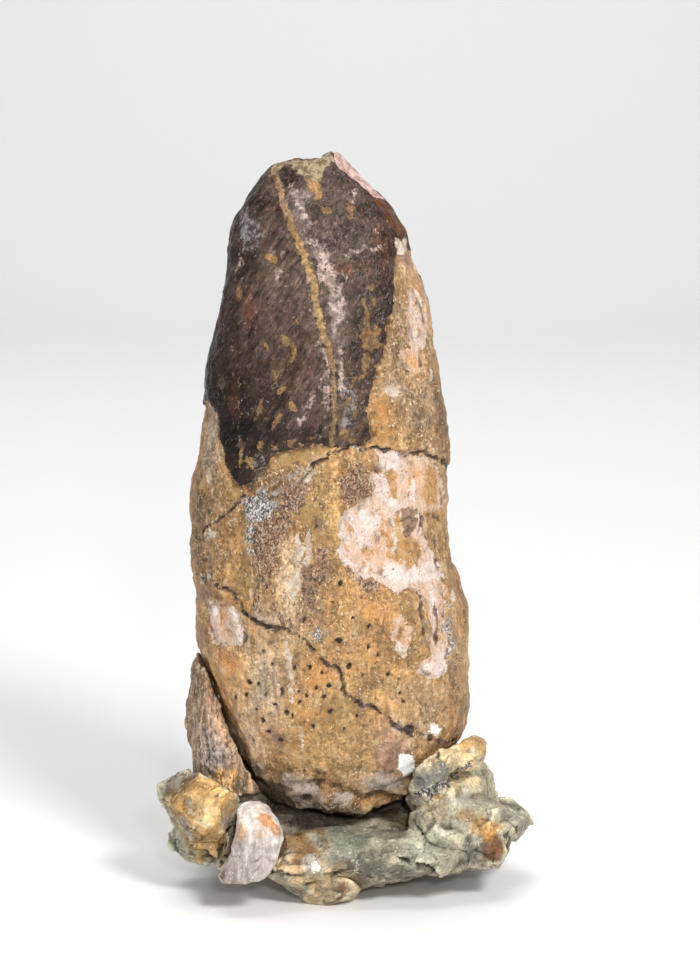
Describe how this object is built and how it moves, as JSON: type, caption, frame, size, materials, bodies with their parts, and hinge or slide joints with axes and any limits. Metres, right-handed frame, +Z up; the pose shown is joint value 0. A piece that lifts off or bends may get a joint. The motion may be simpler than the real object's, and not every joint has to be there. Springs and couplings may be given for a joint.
{
  "type": "fossil sauropod tooth in matrix",
  "caption": "Large fossil tooth standing upright in its lump of mudstone: dark wrinkled enamel crown, long cracked dentine root, a wall splinter and a loose bone chip.",
  "frame": {"origin": "centre of the footprint of the whole thing, on the ground it stands on", "axes": "+Z up along the tooth from root to tip, -Y out of the side with the filled crack and the bone chip, +X to the right of that side"},
  "size_m": [0.0492, 0.0334, 0.097],
  "materials": {
    "tooth": "dark brown softly glossy enamel over sandy golden-brown dentine, with pink-white fibrous flake scars",
    "matrix": "dull grey-green mudstone, stained ochre and rust",
    "bone_chip": "pale pink fibrous bone with an orange stain, lilac-grey below",
    "root_splinter": "brown and pink-grey streaked dentine, dusty at the foot"
  },
  "bodies": {
    "root": {"tooth": "tooth", "matrix": "matrix", "bone_chip": "bone_chip", "root_splinter": "root_splinter"}
  },
  "joints": []
}
